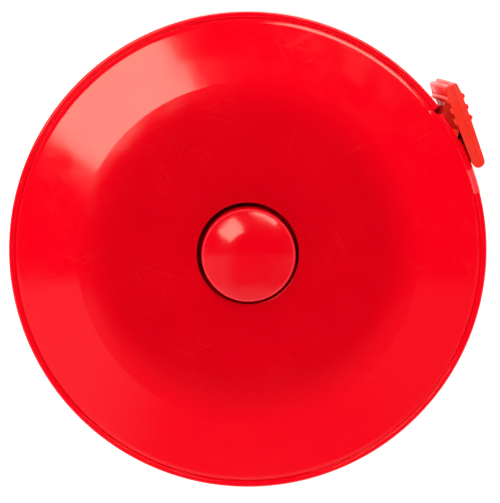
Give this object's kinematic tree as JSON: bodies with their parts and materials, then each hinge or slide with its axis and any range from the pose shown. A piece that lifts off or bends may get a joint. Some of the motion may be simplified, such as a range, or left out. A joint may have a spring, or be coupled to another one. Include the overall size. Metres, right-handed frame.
{
  "type": "retractable tape measure",
  "caption": "Flat round pocket tape measure with a central push button and a ribbed pull tab that draws a spring-wound tape from the rim.",
  "frame": {"origin": "centre of the flat back face that the case lies on", "axes": "+Z out through the push button along the reel's axis; +X and +Y in the plane of the disc, with the tape's mouth at 34 degrees from +X towards +Y"},
  "size_m": [0.05, 0.05, 0.0153],
  "materials": {
    "case_red": "glossy moulded plastic with fine scratches",
    "button_red": "glossy moulded plastic",
    "tab_red": "satin moulded plastic",
    "zinc_steel": "zinc plated",
    "spring_steel": "blued spring steel",
    "white_nylon": "natural nylon",
    "coated_tape": "PVC coated glass fibre cloth",
    "brass": "plain brass",
    "black_rubber": "matt rubber"
  },
  "bodies": {
    "case": {"front_shell": "case_red", "back_shell": "case_red", "case_screws": "zinc_steel", "centre_post": "zinc_steel", "retaining_clip": "spring_steel", "spring_seat_washer": "zinc_steel", "thrust_washer": "white_nylon", "power_spring": "spring_steel", "return_spring": "spring_steel"},
    "button": {"push_button": "button_red", "brake_pad": "black_rubber"},
    "reel": {"reel_drum": "white_nylon", "reel_front_flange": "white_nylon", "spring_cover": "white_nylon", "brake_plate": "zinc_steel", "tape_coil": "coated_tape", "tape_anchor": "brass"},
    "tape_end": {"tape_leader": "coated_tape", "pull_tab": "tab_red", "tab_cover": "tab_red", "tab_rivets": "brass"}
  },
  "joints": [
    {"name": "button_press", "type": "slide", "parent": "case", "child": "button", "axis": [0, 0, -1], "range_m": [0, 0.0012], "stiffness_N_per_m": 1500, "springref_m": -0.001, "deforming": ["return_spring"]},
    {"name": "reel_spin", "type": "hinge", "parent": "case", "child": "reel", "pos_m": [0, 0, 0], "axis": [0, 0, 1], "range_deg": [0, 6428.09], "stiffness_Nm_per_rad": 0.00006, "springref_deg": -3437.75},
    {"name": "tape_pull", "type": "slide", "parent": "case", "child": "tape_end", "axis": [0.2419, 0.9703, 0], "range_m": [0, 1.5]}
  ],
  "couplings": [
    {"joint": "tape_pull", "follows": "reel_spin", "m_per_rad": 0.01337}
  ]
}
